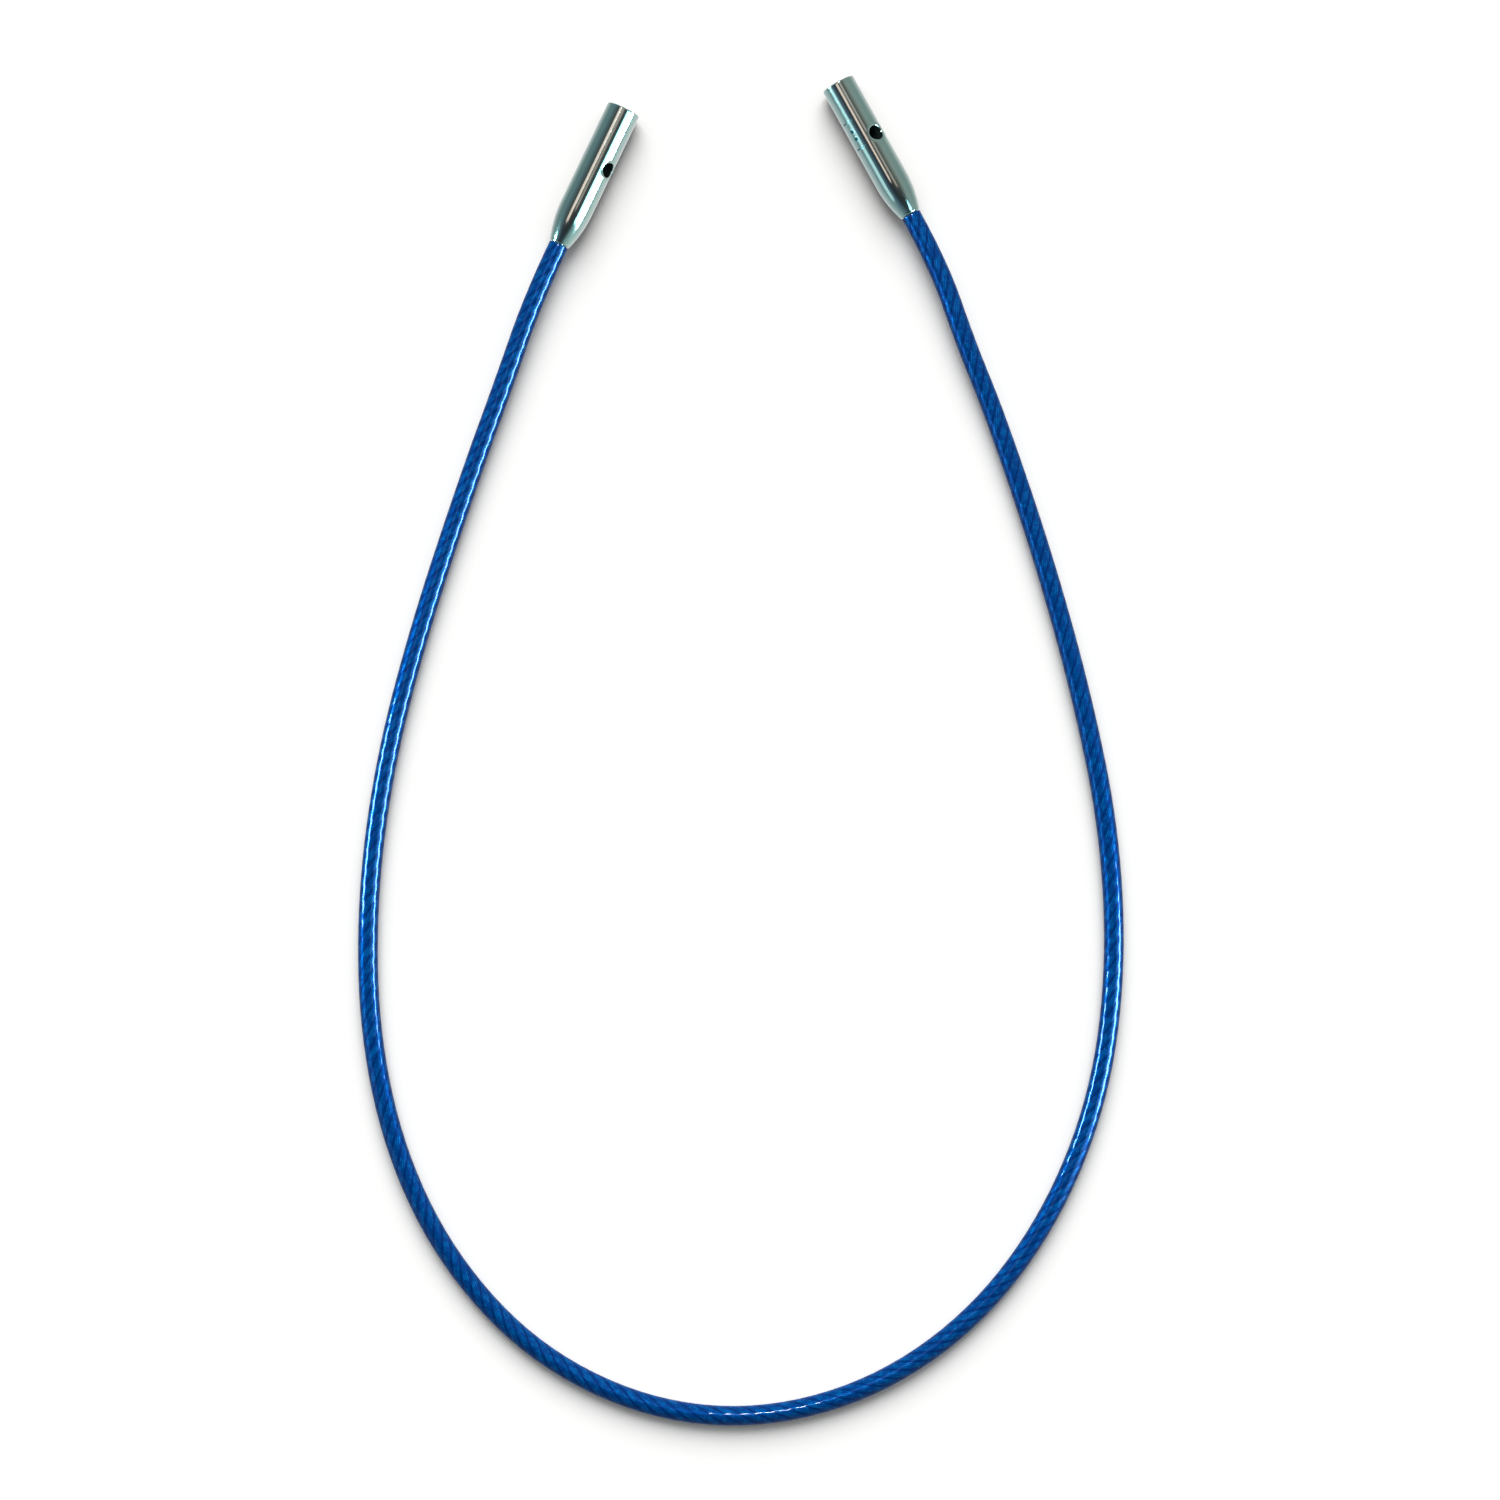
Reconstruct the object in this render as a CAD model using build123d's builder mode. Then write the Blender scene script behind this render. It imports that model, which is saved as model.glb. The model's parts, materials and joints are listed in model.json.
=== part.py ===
import math
import os

from build123d import *

# Interchangeable cable for a circular knitting needle, in millimetres.
# It lies on a table at z = 0 with +Z up. The origin is midway between the two connectors.
# Each connector is a turned steel barrel that swivels on a stop swaged to the cable's steel core.

# Connector barrel. Depths are measured from the mouth.
barrel_radius = 1.2
barrel_length = 10.5
taper_start_depth = 7.75
tail_radius = 0.75
tail_lip = 0.08
mouth_bevel = 0.1

# Bores inside the barrel
socket_radius = 0.8  # tapping size of an M2 x 0.4 thread
socket_depth = 3.7
runout_radius = 1.0  # chamber where the tap runs out, as wide as the thread's crests
runout_depth = 5.1
shoulder_depth = 7.4  # the stop's collar turns in front of this shoulder
tail_bore_radius = 0.55

# Cross hole for the tightening key
key_hole_radius = 0.55
key_hole_rim_radius = 0.68
key_hole_depth = 4.4
key_hole_turns = {"left": 58, "right": 34}  # degrees from straight up about the barrel's axis

# Cable
jacket_radius = 0.7
core_radius = 0.5
tail_gap = 0.05  # between the jacket's end and the barrel's tail face

# Stop swaged on the end of the core
collar_radius = 0.76
collar_length = 0.6
sleeve_radius = 0.68
sleeve_length = 1.5
thrust_gap = 0.03  # between the collar and the barrel's shoulder

# Route of the cable's centre line, from one barrel's tail round to the other's.
# It leaves each barrel along the barrel's axis and settles on the table within a few centimetres.
table_height = jacket_radius
tail_height = barrel_radius
falling_height = 1.0
settling_height = 0.8
route = [
    Vector(-12.35, -5.75, tail_height),
    Vector(-14.075, -9.35, tail_height),
    Vector(-16.25, -15.55, falling_height),
    Vector(-18.65, -22.05, settling_height),
    Vector(-22.2, -32.75, table_height),
    Vector(-24.65, -42.2, table_height),
    Vector(-25.9, -51.7, table_height),
    Vector(-25.75, -61.3, table_height),
    Vector(-23.8, -70.05, table_height),
    Vector(-20.0, -77.55, table_height),
    Vector(-14.2, -83.75, table_height),
    Vector(-6.65, -87.6, table_height),
    Vector(1.35, -88.55, table_height),
    Vector(9.5, -86.5, table_height),
    Vector(16.6, -81.75, table_height),
    Vector(22.0, -74.85, table_height),
    Vector(25.6, -66.25, table_height),
    Vector(26.9, -57.0, table_height),
    Vector(26.45, -47.15, table_height),
    Vector(24.5, -37.55, table_height),
    Vector(21.75, -27.65, table_height),
    Vector(18.4, -17.8, settling_height),
    Vector(16.3, -12.75, falling_height),
    Vector(14.36, -7.17, tail_height),
    Vector(12.4, -3.65, tail_height),
]


def bend_radii(points):
    # The largest arc that each corner's shorter run allows.
    radii = []
    for before, corner, after in zip(points, points[1:], points[2:]):
        arriving = corner - before
        leaving = after - corner
        half_turn = math.radians(arriving.get_angle(leaving)) / 2
        radii.append(0.45 * min(arriving.length, leaving.length) / math.tan(half_turn))
    return radii


def seat_plane(end, neighbour, key_turn):
    # Centre of a barrel's tail face. Z points out of the mouth and X points along the key hole.
    axis = (end - neighbour).normalized()
    key_direction = Vector(0, 0, 1).rotate(Axis((0, 0, 0), tuple(axis)), key_turn)
    return Plane(origin=end + axis * tail_gap, x_dir=key_direction, z_dir=axis)


def profile_plane(seat):
    # Plane through the barrel's axis: x is the radius and y is the height above the tail face.
    return Plane(origin=seat.origin, x_dir=seat.x_dir, z_dir=-seat.y_dir)


radii = bend_radii(route)
print("bend radii:", [round(radius, 1) for radius in radii])

seats = {
    "left": seat_plane(route[0], route[1], key_hole_turns["left"]),
    "right": seat_plane(route[-1], route[-2], key_hole_turns["right"]),
}

# Heights above the tail face
taper_start = barrel_length - taper_start_depth
socket_floor = barrel_length - socket_depth
runout_floor = barrel_length - runout_depth
shoulder = barrel_length - shoulder_depth
key_hole_height = barrel_length - key_hole_depth
collar_bottom = shoulder + thrust_gap
collar_top = collar_bottom + collar_length
sleeve_top = collar_top + sleeve_length

for side, seat in seats.items():
    # Turned barrel: bevelled mouth, straight wall, tapered tail with a rounded lip, stepped bore.
    with BuildPart() as connector:
        with BuildSketch(profile_plane(seat)):
            with BuildLine():
                Line((tail_bore_radius, 0), (tail_radius - tail_lip, 0))
                RadiusArc((tail_radius - tail_lip, 0), (tail_radius, tail_lip), -tail_lip)
                TangentArc((barrel_radius, taper_start), (tail_radius, tail_lip), tangent=(0, -1))
                Polyline(
                    (barrel_radius, taper_start),
                    (barrel_radius, barrel_length - mouth_bevel),
                    (barrel_radius - mouth_bevel, barrel_length),
                    (socket_radius + mouth_bevel, barrel_length),
                    (socket_radius, barrel_length - mouth_bevel),
                    (socket_radius, socket_floor),
                    (runout_radius, socket_floor),
                    (runout_radius, runout_floor),
                    (socket_radius, runout_floor),
                    (socket_radius, shoulder),
                    (tail_bore_radius, shoulder),
                    (tail_bore_radius, 0),
                )
            make_face()
        revolve(axis=Axis(seat.origin, seat.z_dir))
        # The key hole goes through both walls, each drilled from outside with a broken edge.
        hole_centre = seat.origin + seat.z_dir * key_hole_height
        with Locations(
            Plane(origin=hole_centre + seat.x_dir * barrel_radius, z_dir=seat.x_dir),
            Plane(origin=hole_centre - seat.x_dir * barrel_radius, z_dir=-seat.x_dir),
        ):
            CounterSinkHole(
                radius=key_hole_radius,
                counter_sink_radius=key_hole_rim_radius,
                depth=barrel_radius,
                counter_sink_angle=90,
            )
    connector.part.label = f"{side}_connector"
    export_step(connector.part, f"parts/{side}_connector.step")

    # Swaged stop: a thin sleeve gripping the core, with a collar that runs against the shoulder.
    with BuildPart() as end_stop:
        with BuildSketch(profile_plane(seat)):
            with BuildLine():
                Polyline(
                    (core_radius, collar_bottom),
                    (collar_radius, collar_bottom),
                    (collar_radius, collar_top),
                    (sleeve_radius, collar_top),
                    (sleeve_radius, sleeve_top),
                    (core_radius, sleeve_top),
                    close=True,
                )
            make_face()
        revolve(axis=Axis(seat.origin, seat.z_dir))
    end_stop.part.label = f"{side}_end_stop"
    export_step(end_stop.part, f"parts/{side}_end_stop.step")

# Nylon jacket, from one tail face to the other
with BuildPart() as cable_jacket:
    with BuildLine() as jacket_path:
        FilletPolyline(*route, radius=radii)
    with BuildSketch(Plane(origin=jacket_path.line @ 0, z_dir=jacket_path.line % 0)):
        Circle(jacket_radius)
        Circle(core_radius, mode=Mode.SUBTRACT)
    sweep(path=jacket_path.line)
cable_jacket.part.label = "cable_jacket"
export_step(cable_jacket.part, "parts/cable_jacket.step")

# Steel core, on through both tail bores to the far ends of the stops
core_ends = [seat.origin + seat.z_dir * sleeve_top for seat in seats.values()]
with BuildPart() as cable_core:
    with BuildLine() as core_path:
        FilletPolyline(core_ends[0], *route[1:-1], core_ends[1], radius=radii)
    with BuildSketch(Plane(origin=core_path.line @ 0, z_dir=core_path.line % 0)):
        Circle(core_radius)
    sweep(path=core_path.line)
cable_core.part.label = "cable_core"
export_step(cable_core.part, "parts/cable_core.step")

jacket_length = jacket_path.wire().length
core_length = core_path.wire().length
jacket_section = math.pi * (jacket_radius**2 - core_radius**2)
core_section = math.pi * core_radius**2
print("jacket and core lengths:", round(jacket_length, 2), round(core_length, 2))
print("jacket volume ratio:", round(cable_jacket.part.volume / (jacket_section * jacket_length), 5))
print("core volume ratio:", round(cable_core.part.volume / (core_section * core_length), 5))
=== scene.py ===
import json
import math

import bmesh
import bpy
import numpy as np
from mathutils import Matrix, Quaternion, Vector


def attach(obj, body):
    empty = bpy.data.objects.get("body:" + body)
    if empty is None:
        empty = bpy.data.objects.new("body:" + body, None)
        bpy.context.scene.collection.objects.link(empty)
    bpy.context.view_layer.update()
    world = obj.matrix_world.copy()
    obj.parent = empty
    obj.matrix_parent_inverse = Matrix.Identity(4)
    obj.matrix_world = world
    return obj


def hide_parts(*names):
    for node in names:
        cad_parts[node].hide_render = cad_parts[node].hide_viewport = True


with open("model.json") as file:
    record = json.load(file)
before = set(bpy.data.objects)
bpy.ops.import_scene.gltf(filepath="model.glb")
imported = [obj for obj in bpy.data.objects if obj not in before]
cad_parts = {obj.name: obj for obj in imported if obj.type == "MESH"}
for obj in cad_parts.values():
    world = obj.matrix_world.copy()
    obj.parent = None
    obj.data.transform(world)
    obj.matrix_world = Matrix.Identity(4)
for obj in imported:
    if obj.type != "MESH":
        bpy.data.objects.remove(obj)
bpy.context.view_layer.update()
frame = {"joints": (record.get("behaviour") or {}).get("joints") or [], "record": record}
mm = 0.001  # every size below is in millimetres, and meshes are in metres
print("frame loaded")


def linear(hexColour):
    # sRGB hex to the linear values that shaders take
    parts = [int(hexColour[i:i + 2], 16) / 255 for i in (1, 3, 5)]
    return [c / 12.92 if c <= 0.04045 else ((c + 0.055) / 1.055) ** 2.4 for c in parts] + [1.0]


def addNode(tree, kind, settings=None, inputs=None):
    # one node, its settings, and its inputs as numbers or as links from other sockets
    node = tree.nodes.new(kind)
    for name, value in (settings or {}).items():
        setattr(node, name, value)
    for name, value in (inputs or {}).items():
        if isinstance(value, bpy.types.NodeSocket):
            tree.links.new(value, node.inputs[name])
        else:
            node.inputs[name].default_value = value
    return node


def mathNode(tree, operation, first, second=0.0):
    # result of one sum on numbers or sockets
    return addNode(tree, "ShaderNodeMath", {"operation": operation}, {0: first, 1: second}).outputs[0]


def startMaterial(name):
    # new material, its node tree and its shader
    material = bpy.data.materials.new(name)
    material.use_nodes = True
    tree = material.node_tree
    return material, tree, tree.nodes["Principled BSDF"]


def shadeOver(tree, shader, share, hexColour, roughness):
    # a share of another colour and roughness over what the shader already has
    plainColour = shader.inputs["Base Color"].links[0].from_socket
    plainRough = shader.inputs["Roughness"].links[0].from_socket
    colour = addNode(tree, "ShaderNodeMix", {"data_type": "RGBA"}, {
        "Factor": share, 6: plainColour, 7: linear(hexColour)})
    rough = addNode(tree, "ShaderNodeMix", {"data_type": "FLOAT"}, {
        "Factor": share, 2: plainRough, 3: roughness})
    tree.links.new(colour.outputs[2], shader.inputs["Base Color"])
    tree.links.new(rough.outputs[0], shader.inputs["Roughness"])


def steelFinish(name, finish):
    # steel whose colour and roughness drift with a fine noise of the finish's grain
    material, tree, shader = startMaterial(name)
    place = addNode(tree, "ShaderNodeTexCoord").outputs["Object"]
    noise = addNode(tree, "ShaderNodeTexNoise", inputs={
        "Vector": place, "Scale": 1 / (finish["grain"] * mm), "Detail": 4.0})
    colour = addNode(tree, "ShaderNodeMix", {"data_type": "RGBA"}, {
        "Factor": noise.outputs["Fac"], 6: linear(finish["base"]), 7: linear(finish["worn"])})
    rough = addNode(tree, "ShaderNodeMapRange", inputs={
        "Value": noise.outputs["Fac"], "To Min": finish["smoothest"], "To Max": finish["roughest"]})
    tree.links.new(colour.outputs[2], shader.inputs["Base Color"])
    tree.links.new(rough.outputs["Result"], shader.inputs["Roughness"])
    shader.inputs["Metallic"].default_value = 1.0
    return material, tree, shader, place


def gridFaces(rows, columns, closeRows=False):
    # quads of a grid whose columns run round a closed ring; closeRows joins its last row to its first
    row = np.arange(rows if closeRows else rows - 1)[:, None]
    column = np.arange(columns)[None, :]
    nextRow = (row + 1) % rows
    nextColumn = (column + 1) % columns
    corners = (row * columns + column, row * columns + nextColumn,
               nextRow * columns + nextColumn, nextRow * columns + column)
    return np.stack([np.broadcast_to(c, (len(row), columns)) for c in corners], axis=-1).reshape(-1, 4)


def fanFaces(ring, middle):
    # triangles from a closed ring of points to one point
    return np.stack([ring, np.roll(ring, -1), np.full_like(ring, middle)], axis=1)


def shadeWall(mesh, wallNormals):
    # faces whose points all have a wall normal take those normals, so that a round wall shades evenly
    count = len(mesh.loops)
    vertex = np.empty(count, dtype=np.int32)
    mesh.loops.foreach_get("vertex_index", vertex)
    start = np.empty(len(mesh.polygons), dtype=np.int32)
    mesh.polygons.foreach_get("loop_start", start)
    normals = np.empty(count * 3, dtype=np.float32)
    mesh.corner_normals.foreach_get("vector", normals)
    normals = normals.reshape(-1, 3)
    known = np.linalg.norm(wallNormals, axis=1)[vertex] > 0.5
    onWall = np.repeat(np.logical_and.reduceat(known, start), np.diff(np.append(start, count)))
    normals[onWall] = wallNormals[vertex[onWall]]
    mesh.normals_split_custom_set(normals.tolist())


def makePiece(name, points, faceGroups, body, nodes, material,
              layout=None, sharpAngle=40, wallNormals=None):
    # points in millimetres and faces go into a mesh that rides on its body and replaces its CAD nodes; a face
    # whose points all have a wall normal is shaded with those, and the rest of them are zero
    corners = np.concatenate([group.ravel() for group in faceGroups])
    sizes = np.concatenate([np.full(len(group), group.shape[1]) for group in faceGroups])
    used, corners = np.unique(corners, return_inverse=True)
    mesh = bpy.data.meshes.new(name)
    mesh.vertices.add(len(used))
    mesh.vertices.foreach_set("co", (points[used] * mm).ravel())
    mesh.loops.add(len(corners))
    mesh.loops.foreach_set("vertex_index", corners.ravel())
    mesh.polygons.add(len(sizes))
    mesh.polygons.foreach_set("loop_start", np.cumsum(sizes) - sizes)
    mesh.update(calc_edges=True)
    if layout is not None:
        mesh.uv_layers.new(name="layout").data.foreach_set("uv", layout.ravel())
    solid = bmesh.new()
    solid.from_mesh(mesh)
    bmesh.ops.recalc_face_normals(solid, faces=solid.faces)
    solid.to_mesh(mesh)
    solid.free()
    mesh.shade_smooth()
    mesh.set_sharp_from_angle(angle=math.radians(sharpAngle))
    if wallNormals is not None:
        shadeWall(mesh, wallNormals[used])
    mesh.materials.append(material)
    piece = bpy.data.objects.new(name, mesh)
    bpy.context.scene.collection.objects.link(piece)
    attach(piece, body)
    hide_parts(*nodes)
    print("made", name, "with", len(sizes), "faces")
    return piece


# Camera: straight down on the loop, with a long lens
cameraValues = {"centre": (1.09, -41.3), "frameWidth": 105.6, "lens": 100.0, "sensor": 36.0, "aimHeight": 1.0,
                "nearest": 10.0}
cameraData = bpy.data.cameras.new("overheadCamera")
cameraData.lens = cameraValues["lens"]
cameraData.sensor_width = cameraValues["sensor"]
cameraData.clip_start = cameraValues["nearest"] * mm
camera = bpy.data.objects.new("overheadCamera", cameraData)
cameraHeight = cameraValues["frameWidth"] * cameraValues["lens"] / cameraValues["sensor"]
camera.location = (cameraValues["centre"][0] * mm, cameraValues["centre"][1] * mm,
                   (cameraHeight + cameraValues["aimHeight"]) * mm)
bpy.context.scene.collection.objects.link(camera)
bpy.context.scene.camera = camera
print("camera placed")

# Route of the cable's centre line, from the left barrel's tail round to the right one's, in metres
routePoints = [
    (-0.01235, -0.00575, 0.0012),
    (-0.014075, -0.00935, 0.0012),
    (-0.01625, -0.01555, 0.001),
    (-0.01865, -0.02205, 0.0008),
    (-0.0222, -0.03275, 0.0007),
    (-0.02465, -0.0422, 0.0007),
    (-0.0259, -0.0517, 0.0007),
    (-0.02575, -0.0613, 0.0007),
    (-0.0238, -0.07005, 0.0007),
    (-0.02, -0.07755, 0.0007),
    (-0.0142, -0.08375, 0.0007),
    (-0.00665, -0.0876, 0.0007),
    (0.00135, -0.08855, 0.0007),
    (0.0095, -0.0865, 0.0007),
    (0.0166, -0.08175, 0.0007),
    (0.022, -0.07485, 0.0007),
    (0.0256, -0.06625, 0.0007),
    (0.0269, -0.057, 0.0007),
    (0.02645, -0.04715, 0.0007),
    (0.0245, -0.03755, 0.0007),
    (0.02175, -0.02765, 0.0007),
    (0.0184, -0.0178, 0.0008),
    (0.0163, -0.01275, 0.001),
    (0.01436, -0.00717, 0.0012),
    (0.0124, -0.00365, 0.0012),
]
routeCurve = bpy.data.curves.new("cableRoute", "CURVE")
routeCurve.dimensions = "3D"
routeCurve.resolution_u = 40
routeSpline = routeCurve.splines.new("NURBS")
routeSpline.points.add(len(routePoints) - 1)
for controlPoint, place in zip(routeSpline.points, routePoints):
    controlPoint.co = (*place, 1.0)
routeSpline.order_u = 3
routeSpline.use_endpoint_u = True
routeObject = bpy.data.objects.new("cableRoute", routeCurve)
routeMesh = bpy.data.meshes.new_from_object(routeObject)
routeLine = np.empty(len(routeMesh.vertices) * 3)
routeMesh.vertices.foreach_get("co", routeLine)
routeLine = routeLine.reshape(-1, 3) / mm
bpy.data.objects.remove(routeObject)
bpy.data.curves.remove(routeCurve)
bpy.data.meshes.remove(routeMesh)


def alongLine(line):
    # distance along a line at each of its points
    steps = np.linalg.norm(np.diff(line, axis=0), axis=1)
    return np.concatenate([[0], np.cumsum(steps)])


def lineFrames(line):
    # at each point: a level direction square to the line, and the direction square to both
    tangent = np.gradient(line, axis=0)
    tangent /= np.linalg.norm(tangent, axis=1)[:, None]
    side = np.cross(tangent, [0.0, 0.0, 1.0])
    side /= np.linalg.norm(side, axis=1)[:, None]
    return np.cross(side, tangent), side


routeLength = alongLine(routeLine)[-1]
print("cable route:", round(routeLength, 2), "mm,", len(routeLine), "points")


def resample(line, spacing):
    # the same line with points a set distance apart
    length = alongLine(line)
    places = np.linspace(0, length[-1], int(round(length[-1] / spacing)) + 1)
    return np.stack([np.interp(places, length, line[:, k]) for k in range(3)], axis=1)


def ringPoints(line, radius, columns, centre=(0.0, 0.0)):
    # ring at each point: line + (centre + radius * (cos a, sin a)) along the up and side directions
    up, side = lineFrames(line)
    angle = np.arange(columns) / columns * 2 * np.pi
    across = centre[0] + radius * np.cos(angle)
    over = centre[1] + radius * np.sin(angle)
    return line[:, None, :] + across[..., None] * up[:, None, :] + over[..., None] * side[:, None, :]


# Seats of the two barrels: tail face centre, direction out of the mouth, and direction of the key hole
mounts = {mount["name"]: mount for mount in frame["record"]["mounts"]}
seats = {}
for joint in frame["joints"]:
    side = joint["name"].split("_")[0]
    axis = np.array(joint["axis"], dtype=float)
    key = np.array(mounts[side + "_key_hole"]["axis"], dtype=float)
    seats[side] = {"tail": np.array(joint["pos_m"]) / mm, "turned": np.stack([key, np.cross(axis, key), axis])}


# Nylon over the rope: its colour on a strand's crown, painted shade in the groove between strands and a painted
# highlight on a wire that catches light, and the ridge heights and noise values between which each of them comes
# in
coating = {"crown": "#003878", "groove": "#002862", "paintedGlint": "#0066AA", "wiresSeen": 5, "wireSlant": 0.62,
           "crownRise": (0.0, 0.8), "wireRise": (0.5, 1.0), "patchRise": (0.45, 0.6), "paintedGlintRise": (0.1, 0.7),
           "patchSize": 0.4, "paintedGlintShare": 0.8, "roughness": 0.35, "metallic": 0.2, "relief": 0.0035,
           "coatRoughness": 0.05, "coatIor": 1.5, "coatWeight": 0.25}


def coatedRope():
    # Clear blue nylon extruded over the rope: a glossy, faintly wavy skin, and under it the strands' slanting
    # crowns and grooves painted in its colour, with painted shade in the grooves and broken streaks of painted
    # highlight from the wires.
    # Its colour goes from the groove's painted shade to the crown over |sin(pi * strands * (u - turns))|, and to a
    # painted highlight where a wire's finer ridge, a strand's crown and a patch of noise meet. The layout's u runs
    # round the cable and v along it.
    material, tree, shader = startMaterial("blueNylonOverRope")
    layout = addNode(tree, "ShaderNodeUVMap", {"uv_map": "layout"}).outputs["UV"]
    place = addNode(tree, "ShaderNodeTexCoord").outputs["Object"]
    apart = addNode(tree, "ShaderNodeSeparateXYZ", inputs={"Vector": layout})
    turns = mathNode(tree, "MULTIPLY", apart.outputs["Y"], routeLength / rope["lay"])

    def ridges(count, slant):
        # |sin| ridges: a number of them round the cable, turning with it at a share of the rope's lay
        around = mathNode(tree, "SUBTRACT", apart.outputs["X"], mathNode(tree, "MULTIPLY", turns, slant))
        wave = mathNode(tree, "SINE", mathNode(tree, "MULTIPLY", around, count * math.pi))
        return mathNode(tree, "ABSOLUTE", wave)

    def tone(value, rise, most=1.0):
        # smooth step from 0 at the rise's low value to the most at its high one
        low, high = coating[rise]
        return addNode(tree, "ShaderNodeMapRange", {"interpolation_type": "SMOOTHSTEP"}, {
            "Value": value, "From Min": low, "From Max": high, "To Max": most}).outputs["Result"]

    strand = ridges(rope["strands"], 1.0)
    wire = ridges(rope["strands"] * coating["wiresSeen"], coating["wireSlant"])
    patches = addNode(tree, "ShaderNodeTexNoise", inputs={
        "Vector": place, "Scale": 1 / (coating["patchSize"] * mm), "Detail": 4.0,
        "Roughness": 0.65}).outputs["Fac"]
    # painted shade: the groove colour darkens the valleys between strands, and the crown colour is the plain blue
    base = addNode(tree, "ShaderNodeMix", {"data_type": "RGBA"}, {
        "Factor": tone(strand, "crownRise"), 6: linear(coating["groove"]), 7: linear(coating["crown"])}).outputs[2]
    # painted highlight: a lighter blue streak where a wire's ridge, a patch of noise and a strand's crown meet
    lit = mathNode(tree, "MULTIPLY", tone(wire, "wireRise"), tone(patches, "patchRise"))
    paintedGlint = mathNode(tree, "MULTIPLY", lit, tone(strand, "paintedGlintRise", coating["paintedGlintShare"]))
    colour = addNode(tree, "ShaderNodeMix", {"data_type": "RGBA"}, {
        "Factor": paintedGlint, 6: base, 7: linear(coating["paintedGlint"])}).outputs[2]
    relief = mathNode(tree, "ADD", mathNode(tree, "MULTIPLY", strand, strand), patches)
    bump = addNode(tree, "ShaderNodeBump", inputs={
        "Height": relief, "Strength": 1.0, "Distance": coating["relief"] * mm})
    tree.links.new(colour, shader.inputs["Base Color"])
    tree.links.new(bump.outputs["Normal"], shader.inputs["Normal"])
    tree.links.new(bump.outputs["Normal"], shader.inputs["Coat Normal"])
    shader.inputs["Metallic"].default_value = coating["metallic"]
    shader.inputs["Roughness"].default_value = coating["roughness"]
    shader.inputs["Specular IOR Level"].default_value = 0.0
    shader.inputs["Coat Weight"].default_value = coating["coatWeight"]
    shader.inputs["Coat Roughness"].default_value = coating["coatRoughness"]
    shader.inputs["Coat IOR"].default_value = coating["coatIor"]
    return material


# Extruded nylon jacket
jacket = {"radius": 0.7, "bore": 0.503, "ripple": 0.006, "columns": 48, "endRounding": 0.05, "boreStride": 4}


def makeJacket():
    # tube round the route: its outer radius dips by ripple * (0.5 + 0.5 * cos)^2 over the strands' grooves, and
    # is rounded at both ends; its bore is plain
    columns = jacket["columns"]
    rounding = jacket["endRounding"]
    steps = np.array([0.0, 0.3, 0.65, 1.0]) * rounding
    first, last = routeLine[1] - routeLine[0], routeLine[-2] - routeLine[-1]
    startPoints = routeLine[0] + steps[:, None] * first / np.linalg.norm(first)
    endPoints = routeLine[-1] + steps[::-1, None] * last / np.linalg.norm(last)
    line = np.concatenate([startPoints, routeLine[1:-1], endPoints])
    distance = alongLine(line)[:, None]
    turnShare = np.arange(columns) / columns
    groove = 0.5 + 0.5 * np.cos(2 * np.pi * rope["strands"] * (turnShare - distance / rope["lay"]))
    fromEnd = np.minimum(np.minimum(distance, distance[-1] - distance), rounding)
    pulledIn = rounding - np.sqrt(rounding**2 - (rounding - fromEnd) ** 2)
    outer = ringPoints(line, jacket["radius"] - pulledIn - jacket["ripple"] * groove**2, columns)
    stride = np.unique(np.append(np.arange(0, len(line), jacket["boreStride"]), len(line) - 1))[::-1]
    inner = ringPoints(line[stride], jacket["bore"] * np.ones((1, columns)), columns)
    rows = np.concatenate([outer, inner])
    places = np.concatenate([distance[:, 0], distance[stride, 0]]) / distance[-1, 0]
    rowIndex = np.repeat(np.arange(len(rows)), columns)
    nextPlace = np.roll(places, -1)[rowIndex]
    leftEdge = np.tile(np.arange(columns), len(rows)) / columns
    rightEdge = leftEdge + 1 / columns
    layout = np.stack([leftEdge, places[rowIndex], rightEdge, places[rowIndex],
                       rightEdge, nextPlace, leftEdge, nextPlace], axis=1)
    return makePiece("cableJacket", rows.reshape(-1, 3), [gridFaces(len(rows), columns, closeRows=True)],
                     "cable", ["cable_jacket"], coatedRope(), layout)


# Right-hand rope: six strands round one, each of seven wires
rope = {"lay": 7.0, "strands": 6, "strandCentre": 0.333, "strandRadius": 0.164,
        "wires": 6, "wireLay": 5.0, "wireDepth": 0.16, "columns": 24, "spacing": 0.36}

wireFinish = {"base": "#B9BCBE", "worn": "#94989B", "smoothest": 0.18, "roughest": 0.32, "grain": 0.12}


def drawnWire():
    # Drawn 316 stainless wire: bright, with small changes of gloss left by the drawing die
    return steelFinish("drawnStainlessWire", wireFinish)[0]


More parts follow.
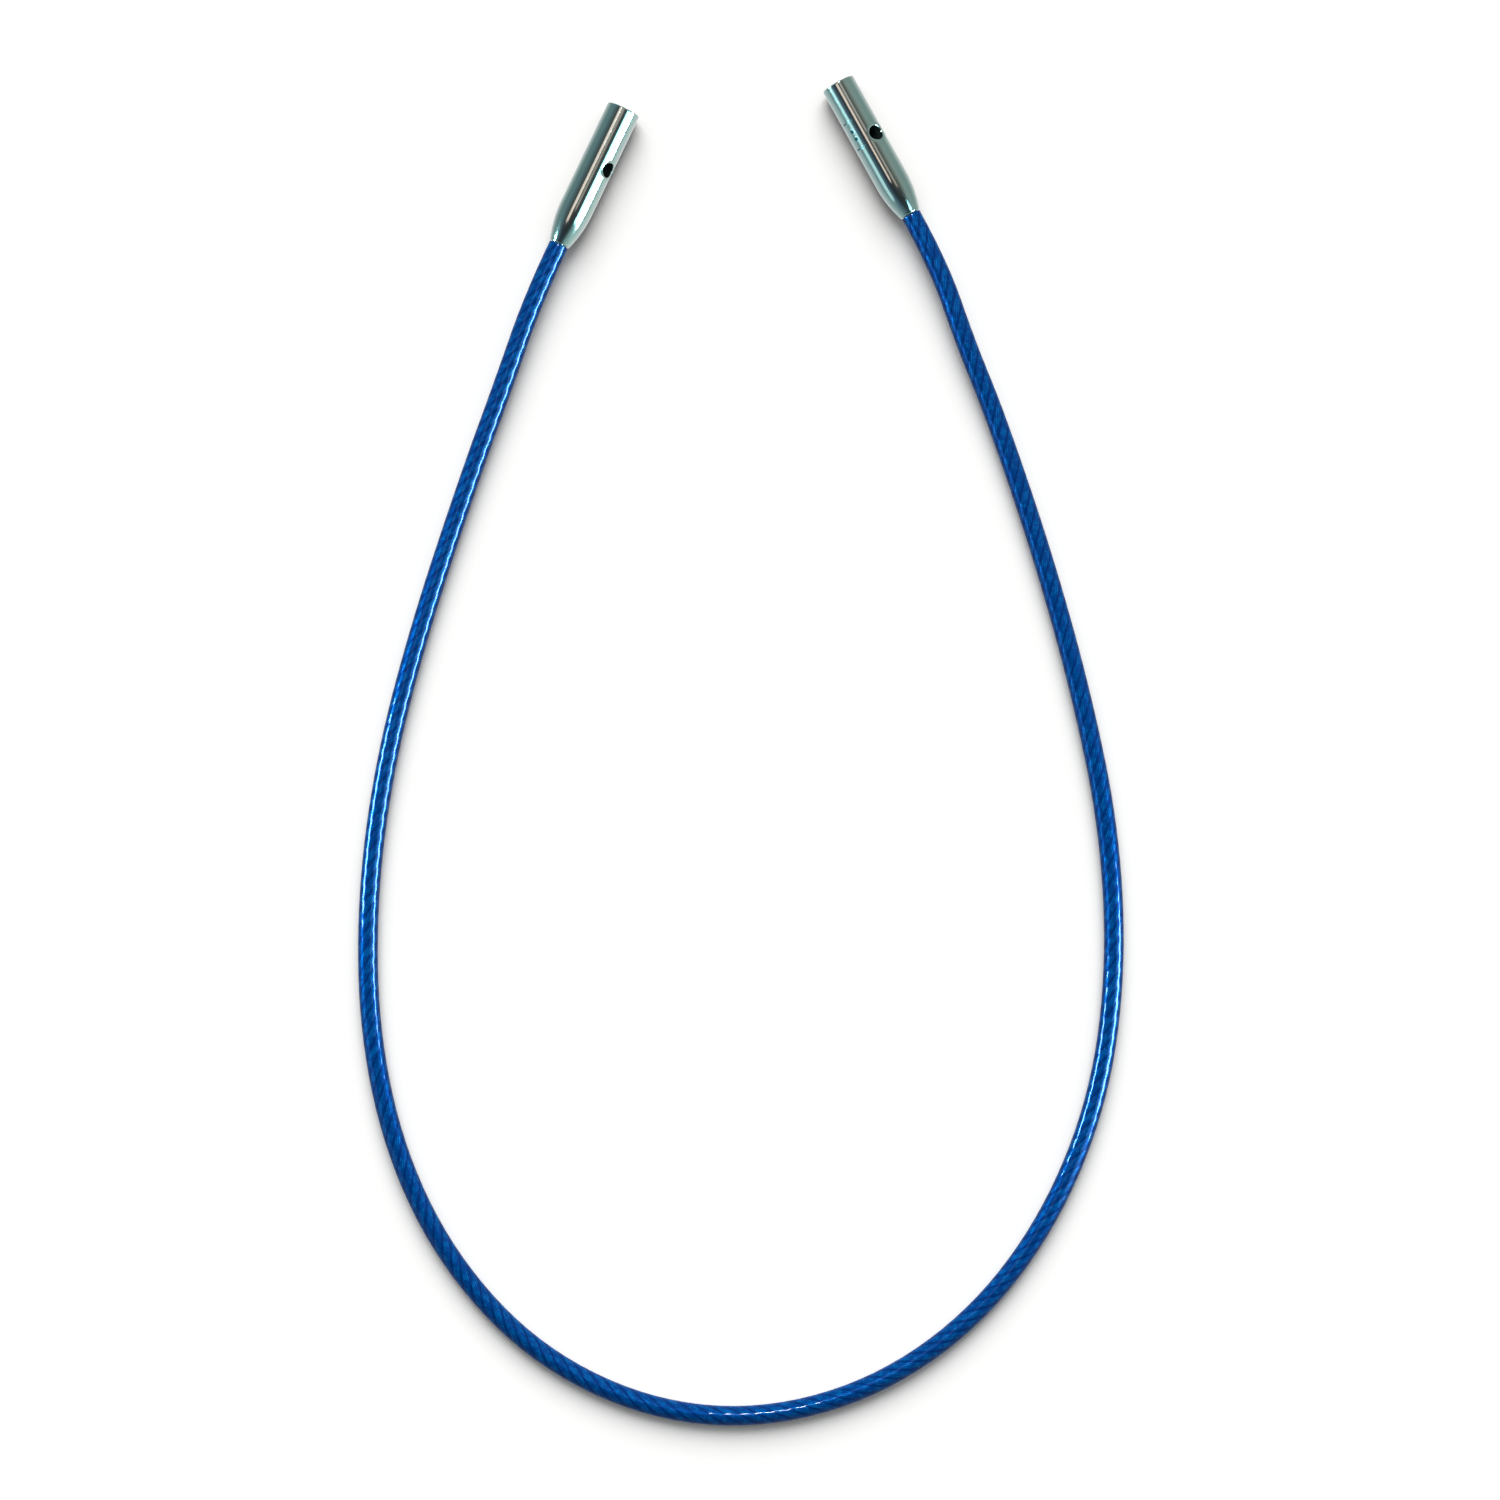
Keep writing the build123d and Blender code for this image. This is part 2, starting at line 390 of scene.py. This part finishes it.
def makeCore():
    # each strand's middle runs round the route in a helix; its radius is strandRadius times
    # 1 - wireDepth * (1 - |cos|) over its six wires, whose lobes turn along it
    ends = [seats[side]["tail"] + seats[side]["turned"][2] * stop["top"] for side in ("left", "right")]
    line = resample(np.concatenate([[ends[0]], routeLine, [ends[1]]]), rope["spacing"])
    distance = alongLine(line)[:, None]
    turn = 2 * np.pi * distance / rope["lay"]
    spin = -2 * np.pi * distance / rope["wireLay"]
    angle = np.arange(rope["columns"]) / rope["columns"] * 2 * np.pi
    lobes = 1 - rope["wireDepth"] * (1 - np.abs(np.cos(rope["wires"] / 2 * (angle - spin))))
    points, faceGroups, firstPoint = [], [], 0
    for strand in range(rope["strands"] + 1):
        reach = rope["strandCentre"] if strand < rope["strands"] else 0.0
        place = turn + 2 * np.pi * strand / rope["strands"]
        rings = ringPoints(line, rope["strandRadius"] * lobes, rope["columns"],
                           (reach * np.cos(place), reach * np.sin(place)))
        if strand == rope["strands"]:
            rings = rings[:, ::3]
        rows, columns = rings.shape[:2]
        points += [rings.reshape(-1, 3), rings[0].mean(axis=0, keepdims=True),
                   rings[-1].mean(axis=0, keepdims=True)]
        ring = np.arange(columns)
        middle = rows * columns
        faceGroups += [gridFaces(rows, columns) + firstPoint,
                       fanFaces(ring[::-1], middle) + firstPoint,
                       fanFaces(ring + middle - columns, middle + 1) + firstPoint]
        firstPoint += middle + 2
    return makePiece("cableCore", np.concatenate(points), faceGroups, "cable", ["cable_core"],
                     drawnWire(), sharpAngle=60)


def arcPoints(centre, radius, fromDegrees, toDegrees, count):
    # points of a circle arc as (radius, height) pairs
    angle = np.radians(np.linspace(fromDegrees, toDegrees, count))
    return np.stack([centre[0] + radius * np.cos(angle), centre[1] + radius * np.sin(angle)], axis=1)


def straightPoints(start, end, count):
    # evenly spaced (radius, height) pairs from one to another
    return np.linspace(start, end, count)


def placed(side, points):
    # from a barrel's own axes (key hole, across, out of the mouth) to the row frame
    return points @ seats[side]["turned"] + seats[side]["tail"]


# Turned barrel, sized as the CAD one. Heights are from its tail face.
barrel = {"radius": 1.2, "length": 10.5, "taperStart": 2.75, "tailRadius": 0.75, "tailLip": 0.08,
          "mouthRound": 0.1, "socketRadius": 0.8, "socketFloor": 6.8, "runoutRadius": 1.0, "runoutFloor": 5.4,
          "shoulder": 3.1, "tailBore": 0.55, "boreBevel": 0.03,
          "keyHole": 0.53, "keyRim": 0.76, "keyHeight": 6.1,
          "pitch": 0.4, "threadDepth": 0.19, "flankStart": 0.2, "flankWidth": 0.7, "mouthFade": 0.25,
          "floorFade": 0.1, "rowsPerPitch": 16, "columns": 96}

# Part of the barrel's grid that gives way to a key hole, and its rim as shares of the way in and depths
keyWindow = {"columns": 13, "steps": 14, "outerHalf": 0.9, "innerHalf": 0.65, "rowGap": 0.4,
             "outerRings": (0.7, 0.4, 0.15, 0.04), "innerRings": (0.1, 0.5),
             "rim": ((0.08, 0.002), (0.2, 0.008), (0.5, 0.024), (0.75, 0.039), (0.88, 0.055), (0.96, 0.078),
                     (1.0, 0.11))}


def barrelOutline():
    # outline of the turned barrel as (radius, height) rows: up the outside, then down the bores
    b, w = barrel, keyWindow
    drop, run = b["radius"] - b["tailRadius"], b["taperStart"] - b["tailLip"]
    taperRadius = (drop**2 + run**2) / (2 * drop)
    lean = math.degrees(math.asin(run / taperRadius))
    mouthTop, mouthEdge = b["length"], b["length"] - b["mouthRound"]
    outside = [
        arcPoints((b["tailBore"] + b["boreBevel"], b["boreBevel"]), b["boreBevel"], 180, 270, 4),
        arcPoints((b["tailRadius"] - b["tailLip"], b["tailLip"]), b["tailLip"], -90, 0, 6),
        arcPoints((b["radius"] - taperRadius, b["taperStart"]), taperRadius, -lean, 0, 18)[1:],
        straightPoints((b["radius"], b["taperStart"] + w["rowGap"]),
                       (b["radius"], b["keyHeight"] - w["outerHalf"] - w["rowGap"]), 4),
    ]
    outerWindow = straightPoints((b["radius"], b["keyHeight"] - w["outerHalf"]),
                                 (b["radius"], b["keyHeight"] + w["outerHalf"]), w["steps"] + 1)
    threadRows = int(round((mouthEdge - b["socketFloor"]) / b["pitch"] * b["rowsPerPitch"]))
    mouth = [
        straightPoints((b["radius"], b["keyHeight"] + w["outerHalf"] + w["rowGap"]),
                       (b["radius"], mouthEdge - w["rowGap"] / 2), 6),
        arcPoints((b["radius"] - b["mouthRound"], mouthEdge), b["mouthRound"], 0, 90, 7),
        np.array([(b["socketRadius"] + b["mouthRound"], mouthTop)]),
        straightPoints((b["socketRadius"], mouthEdge), (b["socketRadius"], b["socketFloor"]), threadRows),
        np.array([(b["runoutRadius"], b["socketFloor"])]),
    ]
    innerWindow = straightPoints((b["runoutRadius"], b["keyHeight"] + w["innerHalf"]),
                                 (b["runoutRadius"], b["keyHeight"] - w["innerHalf"]), w["steps"] + 1)
    depths = [np.array([(b["runoutRadius"], b["runoutFloor"]), (b["socketRadius"], b["runoutFloor"]),
                        (b["socketRadius"], b["shoulder"]), (b["tailBore"], b["shoulder"])])]
    before = sum(len(part) for part in outside)
    between = sum(len(part) for part in mouth)
    outerRows = (before, before + w["steps"])
    innerStart = outerRows[1] + 1 + between
    rows = np.concatenate([*outside, outerWindow, *mouth, innerWindow, *depths])
    return rows, outerRows, (innerStart + w["steps"], innerStart)


def windowLoop(lowRow, highRow, middleColumn):
    # grid points round a window's border, anticlockwise from its low left corner
    half, columns = keyWindow["columns"], barrel["columns"]
    across = np.arange(-half, half)
    upward = np.linspace(lowRow, highRow, keyWindow["steps"] + 1).astype(int)[:-1]
    downward = np.linspace(highRow, lowRow, keyWindow["steps"] + 1).astype(int)[:-1]
    row = np.concatenate([np.full(2 * half, lowRow), upward, np.full(2 * half, highRow), downward])
    column = np.concatenate([across, np.full(len(upward), half), -across, np.full(len(downward), -half)])
    return row * columns + (middleColumn + column) % columns


turnedFinish = {"base": "#B6C6C3", "worn": "#A9BAB8", "smoothest": 0.05, "roughest": 0.11, "grain": 0.5,
                "taperRoughness": 0.12, "satinShare": 0.5, "ringSpacing": 0.05, "ringStrength": 0.04,
                "ringDepth": 0.002}

# The bores and the key hole inside: painted shade, a dark colour that is also rougher than the polished wall
paintedBoreShade = {"wallRadius": 1.13, "overTaper": 0.05, "belowMouth": 0.06, "hex": "#353A3C", "roughness": 0.5}

# Mark on the right barrel: two fine cross lines with two dots between, at an angle from the key hole
sizeMark = {"angle": -79.0, "lineHeights": (7.66, 5.66), "halfLength": 0.47, "halfWidth": 0.05,
            "dotHeights": (6.95, 6.37), "dotRadius": 0.17, "softness": 0.03, "ink": "#1B2A2C", "roughness": 0.5}


def paintBoreShade(tree, shader, apart):
    # painted shade where a point's distance from the axis is under the wall radius, between the taper and the
    # mouth
    squared = mathNode(tree, "ADD", mathNode(tree, "MULTIPLY", apart.outputs["X"], apart.outputs["X"]),
                       mathNode(tree, "MULTIPLY", apart.outputs["Y"], apart.outputs["Y"]))
    inside = mathNode(tree, "LESS_THAN", squared, (paintedBoreShade["wallRadius"] * mm) ** 2)
    overTaper = mathNode(tree, "GREATER_THAN", apart.outputs["Z"],
                         (barrel["taperStart"] + paintedBoreShade["overTaper"]) * mm)
    underMouth = mathNode(tree, "LESS_THAN", apart.outputs["Z"],
                          (barrel["length"] - paintedBoreShade["belowMouth"]) * mm)
    shadedBore = mathNode(tree, "MULTIPLY", mathNode(tree, "MULTIPLY", overTaper, underMouth), inside)
    shadeOver(tree, shader, shadedBore, paintedBoreShade["hex"], paintedBoreShade["roughness"])


def drawSizeMark(tree, shader, apart):
    # etched where a point's distance from a line's or dot's outline, round the barrel and along it, is below
    # zero
    angle = mathNode(tree, "ARCTAN2", apart.outputs["Y"], apart.outputs["X"])
    around = mathNode(tree, "MULTIPLY", mathNode(tree, "SUBTRACT", angle, math.radians(sizeMark["angle"])),
                      barrel["radius"])
    along = mathNode(tree, "DIVIDE", apart.outputs["Z"], mm)
    sideways = mathNode(tree, "ABSOLUTE", around)
    outlines = []
    for height in sizeMark["lineHeights"]:
        offLine = mathNode(tree, "ABSOLUTE", mathNode(tree, "SUBTRACT", along, height))
        outlines.append(mathNode(tree, "MAXIMUM", mathNode(tree, "SUBTRACT", offLine, sizeMark["halfWidth"]),
                                 mathNode(tree, "SUBTRACT", sideways, sizeMark["halfLength"])))
    for height in sizeMark["dotHeights"]:
        offDot = mathNode(tree, "SUBTRACT", along, height)
        squared = mathNode(tree, "ADD", mathNode(tree, "MULTIPLY", offDot, offDot),
                           mathNode(tree, "MULTIPLY", around, around))
        outlines.append(mathNode(tree, "SUBTRACT", mathNode(tree, "SQRT", squared), sizeMark["dotRadius"]))
    nearest = outlines[0]
    for outline in outlines[1:]:
        nearest = mathNode(tree, "MINIMUM", nearest, outline)
    etched = addNode(tree, "ShaderNodeMapRange", {"interpolation_type": "SMOOTHSTEP"}, {
        "Value": nearest, "From Min": sizeMark["softness"],
        "From Max": -sizeMark["softness"]}).outputs["Result"]
    shadeOver(tree, shader, etched, sizeMark["ink"], sizeMark["roughness"])


def polishedSteel(side):
    # Mirror-polished 303 stainless, turned: cool grey reflections, with faint rings left round it by the lathe,
    # and a little duller on the swaged taper
    finish = turnedFinish
    material, tree, shader, place = steelFinish(side + "PolishedStainless", finish)
    seat = seats[side]
    turn = Matrix(seat["turned"].tolist())
    local = addNode(tree, "ShaderNodeMapping", {"vector_type": "POINT"}, {
        "Vector": place, "Location": turn @ Vector(seat["tail"] * -mm), "Rotation": turn.to_euler()})
    apart = addNode(tree, "ShaderNodeSeparateXYZ", inputs={"Vector": local.outputs["Vector"]})
    rings = addNode(tree, "ShaderNodeTexNoise", {"noise_dimensions": "1D"}, {
        "W": apart.outputs["Z"], "Scale": 1 / (finish["ringSpacing"] * mm), "Detail": 2.0})
    bump = addNode(tree, "ShaderNodeBump", inputs={
        "Height": rings.outputs["Fac"], "Strength": finish["ringStrength"],
        "Distance": finish["ringDepth"] * mm})
    tree.links.new(bump.outputs["Normal"], shader.inputs["Normal"])
    satin = addNode(tree, "ShaderNodeMapRange", {"interpolation_type": "SMOOTHSTEP"}, {
        "Value": apart.outputs["Z"], "From Min": barrel["taperStart"] * mm,
        "From Max": finish["satinShare"] * barrel["taperStart"] * mm})
    plainRough = shader.inputs["Roughness"].links[0].from_socket
    rough = addNode(tree, "ShaderNodeMix", {"data_type": "FLOAT"}, {
        "Factor": satin.outputs["Result"], 2: plainRough, 3: finish["taperRoughness"]})
    tree.links.new(rough.outputs[0], shader.inputs["Roughness"])
    # painted shade inside the bores and the key hole
    paintBoreShade(tree, shader, apart)
    if side == "right":
        drawSizeMark(tree, shader, apart)
    return material


def makeBarrel(side):
    # radius and height rows turned round the axis; the socket's radius grows by the groove of a helical
    # thread, threadDepth * flanks * fade, and each key hole fills a window in the grid with rings that go from
    # the window's border to the hole's rim, down its bevel and through the wall
    b = barrel
    columns = b["columns"]
    rows, outerRows, innerRows = barrelOutline()
    angle = np.arange(columns) / columns * 2 * np.pi
    radius, height = rows[:, :1], rows[:, 1:]
    mouthEdge = b["length"] - b["mouthRound"]
    groove = np.abs((height / b["pitch"] - angle / (2 * np.pi)) % 1 - 0.5) * 2
    flanks = np.clip((groove - b["flankStart"]) / b["flankWidth"], 0, 1)
    fade = (np.clip((mouthEdge - height) / b["mouthFade"], 0, 1)
            * np.clip((height - b["socketFloor"]) / b["floorFade"], 0, 1))
    inSocket = (radius < b["socketRadius"] + 1e-6) & (height > b["socketFloor"] - 1e-6)
    turned = radius + np.where(inSocket, b["threadDepth"] * flanks * fade, 0)
    grid = np.stack([turned * np.cos(angle), turned * np.sin(angle), height + 0 * angle], axis=-1)
    grid = grid.reshape(-1, 3)
    faces = gridFaces(len(rows), columns, closeRows=True)
    faceRow, faceColumn = np.divmod(np.arange(len(faces)), columns)
    keep = np.ones(len(faces), dtype=bool)
    points, faceGroups, total = [grid], [], len(grid)
    for middleColumn in (0, columns // 2):
        offset = (faceColumn - middleColumn + columns // 2) % columns - columns // 2
        inColumns = (offset >= -keyWindow["columns"]) & (offset < keyWindow["columns"])
        for low, high in (outerRows, innerRows[::-1]):
            keep &= ~(inColumns & (faceRow >= low) & (faceRow < high))
        turnBack = 1 if middleColumn == 0 else -1
        outerLoop = windowLoop(*outerRows, middleColumn)
        innerLoop = windowLoop(*innerRows, middleColumn)
        outerBorder, innerBorder = (grid[loop] * (turnBack, turnBack, 1) for loop in (outerLoop, innerLoop))
        # direction of each border point from the hole's middle, measured on the unrolled wall
        aroundBorder = b["radius"] * np.arctan2(outerBorder[:, 1], outerBorder[:, 0])
        bearing = np.arctan2(aroundBorder, outerBorder[:, 2] - b["keyHeight"])
        tangent, along = np.sin(bearing), np.cos(bearing)

        def wallRing(reach, wall, sunk=0.0):
            # ring at a distance from the hole's axis, sunk below a round wall
            return np.stack([np.sqrt(wall**2 - (reach * tangent) ** 2) - sunk, reach * tangent,
                             b["keyHeight"] + reach * along], axis=1)

        def between(ring, border, wall, share):
            # ring part of the way from one ring to a border, kept on the round wall
            turn = ((1 - share) * np.arctan2(ring[:, 1], ring[:, 0])
                    + share * np.arctan2(border[:, 1], border[:, 0]))
            level = (1 - share) * ring[:, 2] + share * border[:, 2]
            return np.stack([wall * np.cos(turn), wall * np.sin(turn), level], axis=1)

        # the rim slopes gently from the wall, then turns down into the hole
        outerRim = wallRing(b["keyRim"], b["radius"])
        innerRim = wallRing(b["keyHole"], b["runoutRadius"])
        rings = [between(outerRim, outerBorder, b["radius"], share)
                 for share in keyWindow["outerRings"]]
        rings.append(outerRim)
        for reachShare, depth in keyWindow["rim"]:
            reach = b["keyRim"] + reachShare * (b["keyHole"] - b["keyRim"])
            rings.append(wallRing(reach, b["radius"], depth))
        rings.append(innerRim)
        rings += [between(innerRim, innerBorder, b["runoutRadius"], share)
                  for share in keyWindow["innerRings"]]
        loops = [outerLoop]
        for ring in rings:
            loops.append(np.arange(len(ring)) + total)
            points.append(ring * (turnBack, turnBack, 1))
            total += len(ring)
        loops.append(innerLoop)
        for near, far in zip(loops, loops[1:]):
            faceGroups.append(np.stack([near, np.roll(near, -1), np.roll(far, -1), far], axis=1))
    faceGroups.insert(0, faces[keep])
    points = np.concatenate(points)
    outwards = points * (1, 1, 0) / b["radius"]
    onWall = np.abs(np.linalg.norm(outwards, axis=1) - 1) < 1e-6
    return makePiece(side + "Barrel", placed(side, points), faceGroups, side + "_connector",
                     [side + "_connector"], polishedSteel(side), sharpAngle=32,
                     wallNormals=np.where(onWall[:, None], outwards @ seats[side]["turned"], 0))


# Swaged stop on the end of the core
stop = {"collarRadius": 0.76, "sleeveRadius": 0.68, "bottom": 3.13, "collarTop": 3.73, "top": 5.23,
        "bore": 0.503, "swageDepth": 0.05, "flats": 6, "edge": 0.04, "columns": 72}

swagedFinish = {"base": "#A9ACAD", "worn": "#8F9394", "smoothest": 0.28, "roughest": 0.42, "grain": 0.15,
                "scuffSize": 0.06, "scuffStrength": 0.3, "scuffDepth": 0.004}


def swagedSteel():
    # Swaged 304 stainless: dull grey, with the dies' fine scuffs
    finish = swagedFinish
    material, tree, shader, place = steelFinish("swagedStainless", finish)
    scuffs = addNode(tree, "ShaderNodeTexNoise", inputs={
        "Vector": place, "Scale": 1 / (finish["scuffSize"] * mm), "Detail": 3.0})
    bump = addNode(tree, "ShaderNodeBump", inputs={
        "Height": scuffs.outputs["Fac"], "Strength": finish["scuffStrength"],
        "Distance": finish["scuffDepth"] * mm})
    tree.links.new(bump.outputs["Normal"], shader.inputs["Normal"])
    return material


def makeStop(side):
    # collar and sleeve turned round the axis; the sleeve's radius dips by swageDepth * sin(pi * share of its
    # length) * |cos(flats / 2 * angle)|^3, which presses shallow flats into its middle
    s = stop
    edge = s["edge"]
    outline = np.concatenate([
        np.array([(s["bore"], s["bottom"])]),
        arcPoints((s["collarRadius"] - edge, s["bottom"] + edge), edge, -90, 0, 4),
        arcPoints((s["collarRadius"] - edge, s["collarTop"] - edge), edge, 0, 90, 4),
        straightPoints((s["sleeveRadius"], s["collarTop"]), (s["sleeveRadius"], s["top"] - edge), 16),
        arcPoints((s["sleeveRadius"] - edge, s["top"] - edge), edge, 0, 90, 4)[1:],
        np.array([(s["bore"], s["top"])]),
    ])
    angle = np.arange(s["columns"]) / s["columns"] * 2 * np.pi
    radius, height = outline[:, :1], outline[:, 1:]
    upSleeve = np.clip((height - s["collarTop"]) / (s["top"] - s["collarTop"]), 0, 1)
    pressed = np.sin(np.pi * upSleeve) * (radius > s["bore"] + 0.02) * (upSleeve > 0)
    turned = radius - s["swageDepth"] * pressed * np.abs(np.cos(s["flats"] / 2 * angle)) ** 3
    points = np.stack([turned * np.cos(angle), turned * np.sin(angle), height + 0 * angle], axis=-1)
    return makePiece(side + "EndStop", placed(side, points.reshape(-1, 3)),
                     [gridFaces(len(outline), s["columns"], closeRows=True)], "cable", [side + "_end_stop"],
                     swagedSteel())


cableJacket = makeJacket()
cableCore = makeCore()
for side in ("left", "right"):
    makeBarrel(side)
    makeStop(side)
print("pieces made")

# Studio: a pale table, a broad soft key from behind the mouths, and lamps that only glossy faces show. A lamp's
# place is its bearing from +X and its height above the table in degrees, at so many millimetres away, and its
# size is in degrees as well. The ambient light fades in over the ambientFade directions, towards the back.
studio = {"tableWidth": 3000.0, "tableHex": "#F2F2F0", "keyStrength": 3.2, "keySpread": 48.0,
          "keyFrom": (-0.02, 0.75, 0.66), "ambient": 0.92, "ambientFade": (-0.5, 0.3), "quarterBlend": 0.35,
          "tableRoughness": 0.9, "tableGloss": 0.1}
lamps = {
    "whiteBank": {"bearing": -26.0, "height": 33.0, "away": 500.0, "wide": 20.0, "tall": 49.0, "roll": 0.0,
                  "glow": 5.0, "hex": "#A8EFFF"},
    "tealBank": {"bearing": 209.0, "height": 24.0, "away": 500.0, "wide": 26.0, "tall": 21.0, "roll": 0.0,
                 "glow": 0.9, "hex": "#D6F9F7"},
    "warmTube": {"bearing": 154.4, "height": 73.2, "away": 500.0, "wide": 24.0, "tall": 15.5, "roll": 0.0,
                 "glow": 1.45, "hex": "#FFDBCB"},
    "dimTube": {"bearing": 41.0, "height": 80.5, "away": 500.0, "wide": 14.0, "tall": 13.0, "roll": -12.0,
                "glow": 0.5, "hex": "#FFE3D2"},
    "rightTube": {"bearing": -25.8, "height": 19.1, "away": 204.6, "wide": 22.0, "tall": 14.5, "roll": -20.0,
                  "glow": 85.0, "hex": "#B4F1FF"},
    "leftTube": {"bearing": 189.3, "height": 18.7, "away": 189.1, "wide": 15.5, "tall": 13.5, "roll": 0.0,
                 "glow": 110.0, "hex": "#B0F3FF"},
    "spot": {"bearing": 102.0, "height": 73.0, "away": 500.0, "wide": 6.0, "tall": 6.0, "roll": 0.0,
             "glow": 160.0, "hex": "#FFFFFF"},
}
# What glossy faces see of the room in each quarter, as colours at sines of a height above the table's plane.
# Front is -Y and right is +X.
room = {
    "backLeft": ((-1.0, "#FFFCFD"), (-0.62, "#E3E7E9"), (-0.28, "#ADBFBD"), (0.0, "#839D9E"),
                 (0.28, "#83A0A4"), (0.5, "#779196"), (0.82, "#5B6769"), (1.0, "#4D4B4C")),
    "backRight": ((-1.0, "#FFFFFF"), (-0.62, "#F0F0ED"), (-0.28, "#C3CFCB"), (0.0, "#9FB4B0"),
                  (0.5, "#A5B8B4"), (0.68, "#AFBAB4"), (0.82, "#999E97"), (1.0, "#4D4B4C")),
    "frontLeft": ((-1.0, "#F0F2F4"), (-0.62, "#E3EDEE"), (-0.28, "#C1D2D4"), (0.0, "#B6CDCD"),
                  (0.28, "#91ABB2"), (0.68, "#637C8B"), (0.85, "#3A4654"), (0.95, "#35383B"), (1.0, "#4D4B4C")),
    "frontRight": ((-1.0, "#FFFFFF"), (-0.62, "#FEFFFF"), (-0.28, "#E9FCF5"), (0.0, "#DBEDE6"),
                   (0.28, "#BBD5D3"), (0.68, "#94B4B2"), (0.85, "#465657"), (0.95, "#35383B"), (1.0, "#4D4B4C")),
}


def addTable():
    # flat square, with no thickness, just under the cable
    half = studio["tableWidth"] / 2 * mm
    mesh = bpy.data.meshes.new("paleTable")
    corners = [(-half, -half, 0), (half, -half, 0), (half, half, 0), (-half, half, 0)]
    mesh.from_pydata(corners, [], [(0, 1, 2, 3)])
    material, tree, shader = startMaterial("mattPaper")  # matt white card: no gloss
    shader.inputs["Base Color"].default_value = linear(studio["tableHex"])
    shader.inputs["Roughness"].default_value = studio["tableRoughness"]
    shader.inputs["Specular IOR Level"].default_value = studio["tableGloss"]
    mesh.materials.append(material)
    table = bpy.data.objects.new("paleTable", mesh)
    bpy.context.scene.collection.objects.link(table)
    table.visible_glossy = False


def addKey():
    # broad sun that lights the matt faces and makes the soft shadows
    data = bpy.data.lights.new("softKey", "SUN")
    data.energy = studio["keyStrength"]
    data.angle = math.radians(studio["keySpread"])
    key = bpy.data.objects.new("softKey", data)
    key.rotation_euler = Vector(studio["keyFrom"]).to_track_quat("Z", "Y").to_euler()
    key.visible_glossy = False
    bpy.context.scene.collection.objects.link(key)


def addLamp(name, values):
    # rectangle of even light that faces the object, seen only in reflections; roll turns it about its own
    # middle
    bearing, height = math.radians(values["bearing"]), math.radians(values["height"])
    direction = Vector((math.cos(bearing) * math.cos(height), math.sin(bearing) * math.cos(height),
                        math.sin(height)))
    data = bpy.data.lights.new(name, "AREA")
    data.shape = "RECTANGLE"
    data.size = 2 * values["away"] * mm * math.tan(math.radians(values["wide"] / 2))
    data.size_y = 2 * values["away"] * mm * math.tan(math.radians(values["tall"] / 2))
    data.energy = values["glow"] * math.pi * data.size * data.size_y
    data.color = linear(values["hex"])[:3]
    lamp = bpy.data.objects.new(name, data)
    lamp.location = direction * values["away"] * mm
    lamp.rotation_mode = "QUATERNION"
    roll = Quaternion((0, 0, 1), math.radians(values["roll"]))
    lamp.rotation_quaternion = direction.to_track_quat("Z", "Y") @ roll
    lamp.visible_camera = False
    lamp.visible_diffuse = False
    bpy.context.scene.collection.objects.link(lamp)


def roomColours(tree, rise, stops):
    # ramp of colours over the sine of the height, from -1 to 1
    place = addNode(tree, "ShaderNodeMapRange", inputs={"Value": rise, "From Min": -1.0}).outputs["Result"]
    node = addNode(tree, "ShaderNodeValToRGB", inputs={"Fac": place})
    ramp = node.color_ramp
    while len(ramp.elements) < len(stops):
        ramp.elements.new(0.5)
    for element, (level, hexColour) in zip(ramp.elements, stops):
        element.position = (level + 1) / 2
        element.color = linear(hexColour)
    return node.outputs["Color"]


def addSurroundings():
    # pale light from the back on matt faces, and on glossy faces a teal room that darkens towards its ceiling
    world = bpy.data.worlds.new("studioRoom")
    bpy.context.scene.world = world
    world.use_nodes = True
    world.cycles.sampling_method = "NONE"
    tree = world.node_tree
    tree.nodes.clear()
    direction = addNode(tree, "ShaderNodeTexCoord").outputs["Generated"]
    apart = addNode(tree, "ShaderNodeSeparateXYZ", inputs={"Vector": direction})

    def mixed(direction, first, second):
        # smooth change between two colours where the quarters meet
        share = addNode(tree, "ShaderNodeMapRange", {"interpolation_type": "SMOOTHSTEP"}, {
            "Value": direction, "From Min": -studio["quarterBlend"],
            "From Max": studio["quarterBlend"]}).outputs["Result"]
        return addNode(tree, "ShaderNodeMix", {"data_type": "RGBA"}, {
            "Factor": share, 6: first, 7: second}).outputs[2]

    quarters = {name: roomColours(tree, apart.outputs["Z"], stops) for name, stops in room.items()}
    front = mixed(apart.outputs["X"], quarters["frontLeft"], quarters["frontRight"])
    back = mixed(apart.outputs["X"], quarters["backLeft"], quarters["backRight"])
    colour = mixed(apart.outputs["Y"], front, back)
    reflected = addNode(tree, "ShaderNodeBackground", inputs={"Color": colour, "Strength": 1.0})
    fromBack = addNode(tree, "ShaderNodeMapRange", {"interpolation_type": "SMOOTHSTEP"}, {
        "Value": apart.outputs["Y"], "From Min": studio["ambientFade"][0], "From Max": studio["ambientFade"][1],
        "To Max": studio["ambient"]}).outputs["Result"]
    plain = addNode(tree, "ShaderNodeBackground", inputs={"Color": linear("#FFFFFF"), "Strength": fromBack})
    ray = addNode(tree, "ShaderNodeLightPath")
    either = addNode(tree, "ShaderNodeMixShader", inputs={
        0: ray.outputs["Is Glossy Ray"], 1: plain.outputs[0], 2: reflected.outputs[0]})
    addNode(tree, "ShaderNodeOutputWorld", inputs={"Surface": either.outputs[0]})


addTable()
addKey()
for name, values in lamps.items():
    addLamp(name, values)
addSurroundings()
bpy.context.scene.view_settings.view_transform = "Standard"
# without this the small polished barrels throw bright patches on the table
bpy.context.scene.cycles.caustics_reflective = False
print("studio lit")
